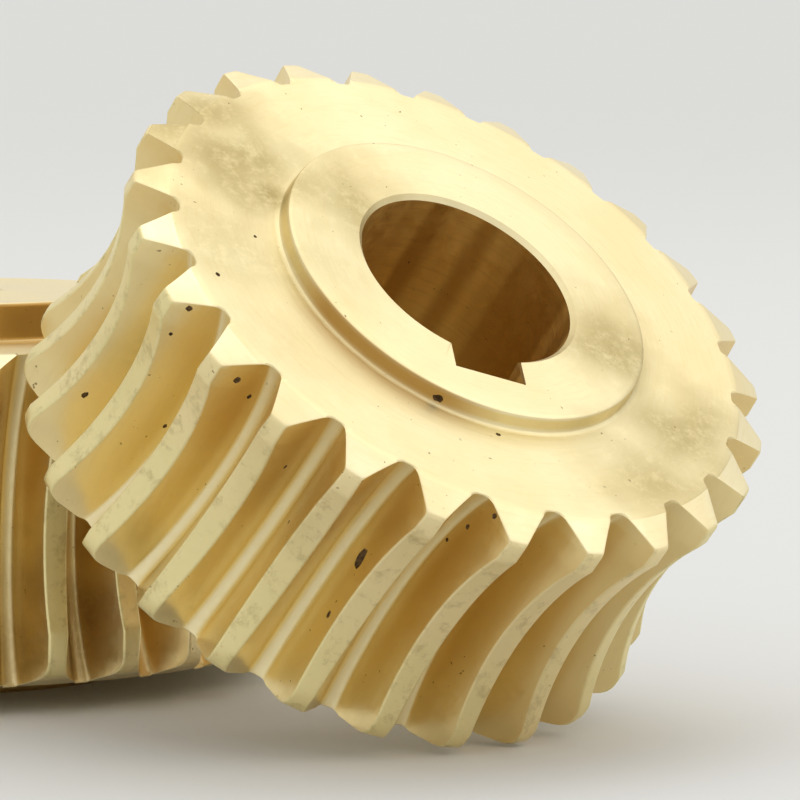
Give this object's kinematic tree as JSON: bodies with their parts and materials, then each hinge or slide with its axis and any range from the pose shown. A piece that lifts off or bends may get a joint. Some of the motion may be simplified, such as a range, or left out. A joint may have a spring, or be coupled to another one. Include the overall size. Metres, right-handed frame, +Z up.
{
  "type": "worm wheel pair",
  "caption": "Pair of loose cast bronze worm wheels with throated slanting teeth, raised bosses and keyed bores; one lies flat, the other leans on its rim.",
  "frame": {"origin": "where the rear wheel's bore axis meets the floor that the wheel lies on", "axes": "+Z up along the rear wheel's bore; +X towards the side that the front wheel's axis tilts to; the front wheel leans 41.4 degrees from +Z towards +X"},
  "size_m": [0.1495, 0.087, 0.0698],
  "materials": {
    "rear_bronze": "machined, darker and browner in the shade of the other wheel",
    "front_bronze": "machined satin with cutter marks, cloudy stains and a few casting pores"
  },
  "bodies": {
    "rear_wheel": {"rear_worm_wheel": "rear_bronze"},
    "front_wheel": {"front_worm_wheel": "front_bronze"}
  },
  "joints": [
    {"name": "front_wheel_spin", "type": "hinge", "parent": "rear_wheel", "child": "front_wheel", "pos_m": [0.07018, 0.0083, 0.03492], "axis": [0.6613, 0, 0.7501], "continuous": true}
  ]
}
